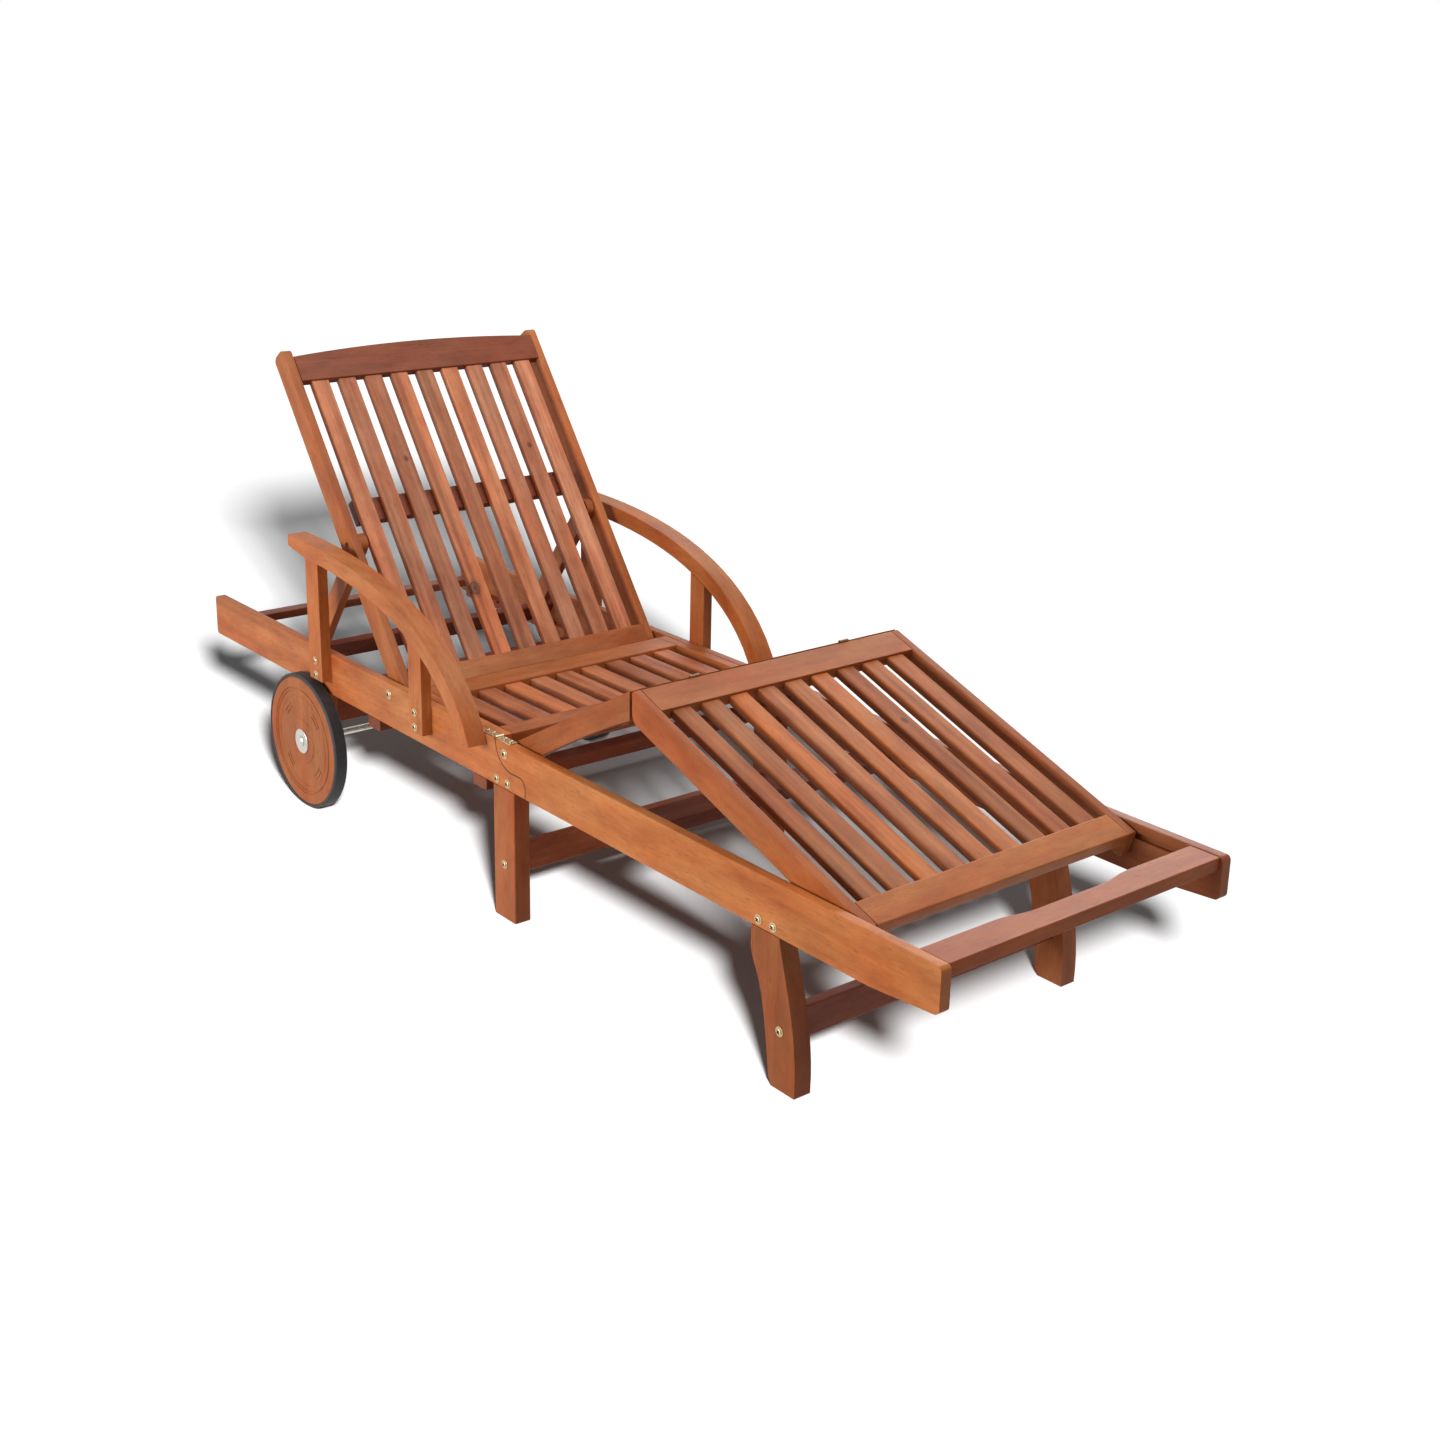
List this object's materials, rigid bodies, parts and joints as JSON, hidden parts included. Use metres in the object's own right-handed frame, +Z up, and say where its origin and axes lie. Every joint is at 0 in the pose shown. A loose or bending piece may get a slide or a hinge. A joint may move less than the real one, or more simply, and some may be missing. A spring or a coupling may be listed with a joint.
{
  "type": "folding sun lounger",
  "caption": "Slatted hardwood sun lounger with reclining backrest, kneed leg rest, curved armrests, wheels and a frame that folds across its middle.",
  "frame": {"origin": "on the floor, in the middle of the width, below the fold line that halves the length", "axes": "+X to the foot end, +Y to the sitter's left, +Z up"},
  "size_m": [2, 0.648, 0.8211],
  "materials": {
    "hardwood": "oiled, satin",
    "hardwood_slats": "oiled, satin",
    "hardwood_dark": "oiled, satin",
    "wheel_wood": "oiled, satin",
    "tyre_rubber": "matte",
    "brass_plating": "satin",
    "zinc_plating": "satin"
  },
  "bodies": {
    "rear_frame": {"rear_rail_left": "hardwood", "rear_rail_right": "hardwood", "head_batten": "hardwood_dark", "under_battens": "hardwood_slats", "wheel_legs": "hardwood", "axle_board": "hardwood_dark", "wheel_axle": "zinc_plating", "hub_spacers": "zinc_plating", "hub_caps": "zinc_plating", "middle_legs": "hardwood", "middle_stretcher": "hardwood_dark", "prop_racks": "hardwood_dark", "seat_rear_rail": "hardwood", "seat_front_rail": "hardwood", "seat_slats": "hardwood_slats", "seat_side_strips": "hardwood", "armrest_left": "hardwood", "armrest_right": "hardwood", "rear_arm_posts": "hardwood", "front_arm_posts": "hardwood", "arm_post_screws": "brass_plating", "middle_leg_screws": "brass_plating", "backrest_pivot_bolts": "brass_plating", "fold_hinge_rear_leaves": "brass_plating", "fold_hinge_pins": "brass_plating"},
    "backrest": {"backrest_stile_left": "hardwood", "backrest_stile_right": "hardwood", "backrest_crest_rail": "hardwood_dark", "backrest_low_rail": "hardwood", "backrest_mid_batten": "hardwood_dark", "backrest_slats": "hardwood_slats", "prop_pivot_pins": "brass_plating"},
    "backrest_prop": {"prop_struts": "hardwood", "prop_foot_bar": "hardwood_dark"},
    "front_frame": {"front_rail_left": "hardwood", "front_rail_right": "hardwood", "front_leg_left": "hardwood", "front_leg_right": "hardwood", "front_stretcher": "hardwood_dark", "low_cross_board": "hardwood_dark", "foot_handle": "hardwood", "front_leg_screws": "brass_plating", "leg_rest_pivot_bolts": "brass_plating", "fold_hinge_front_leaves": "brass_plating"},
    "thigh_panel": {"thigh_stiles": "hardwood", "thigh_rear_rail": "hardwood", "thigh_knee_rail": "hardwood", "thigh_slats": "hardwood_slats", "knee_hinge_thigh_leaves": "brass_plating", "knee_hinge_pins": "brass_plating"},
    "calf_panel": {"calf_stiles": "hardwood", "calf_knee_rail": "hardwood", "calf_low_rail": "hardwood", "calf_slats": "hardwood_slats", "knee_hinge_calf_leaves": "brass_plating", "calf_foot_pins": "zinc_plating"},
    "wheel_left": {"wheel_disc_left": "wheel_wood", "tyre_left": "tyre_rubber"},
    "wheel_right": {"wheel_disc_right": "wheel_wood", "tyre_right": "tyre_rubber"}
  },
  "joints": [
    {"name": "frame_fold", "type": "hinge", "parent": "rear_frame", "child": "front_frame", "pos_m": [0, 0, 0.3065], "axis": [0, -1, 0], "range_deg": [0, 135]},
    {"name": "backrest_recline", "type": "hinge", "parent": "rear_frame", "child": "backrest", "pos_m": [-0.3315, 0, 0.286], "axis": [0, 1, 0], "range_deg": [-53.3, 3]},
    {"name": "prop_swing", "type": "hinge", "parent": "backrest", "child": "backrest_prop", "pos_m": [-0.49883, 0, 0.5105], "axis": [0, 1, 0], "range_deg": [-5.9, 103.14]},
    {"name": "leg_rest_raise", "type": "hinge", "parent": "front_frame", "child": "thigh_panel", "pos_m": [0.029, 0, 0.287], "axis": [0, -1, 0], "range_deg": [-29.3, 0]},
    {"name": "knee_bend", "type": "hinge", "parent": "thigh_panel", "child": "calf_panel", "pos_m": [0.33348, 0, 0.47392], "axis": [0, -1, 0], "range_deg": [-0.1, 48.62]},
    {"name": "wheel_left_spin", "type": "hinge", "parent": "rear_frame", "child": "wheel_left", "pos_m": [-0.603, 0.306, 0.126], "axis": [0, 1, 0], "continuous": true},
    {"name": "wheel_right_spin", "type": "hinge", "parent": "rear_frame", "child": "wheel_right", "pos_m": [-0.603, -0.306, 0.126], "axis": [0, 1, 0], "continuous": true}
  ],
  "couplings": [
    {"joint": "prop_swing", "follows": "backrest_recline", "ratio": -1.9332},
    {"joint": "knee_bend", "follows": "leg_rest_raise", "ratio": -1.656}
  ]
}
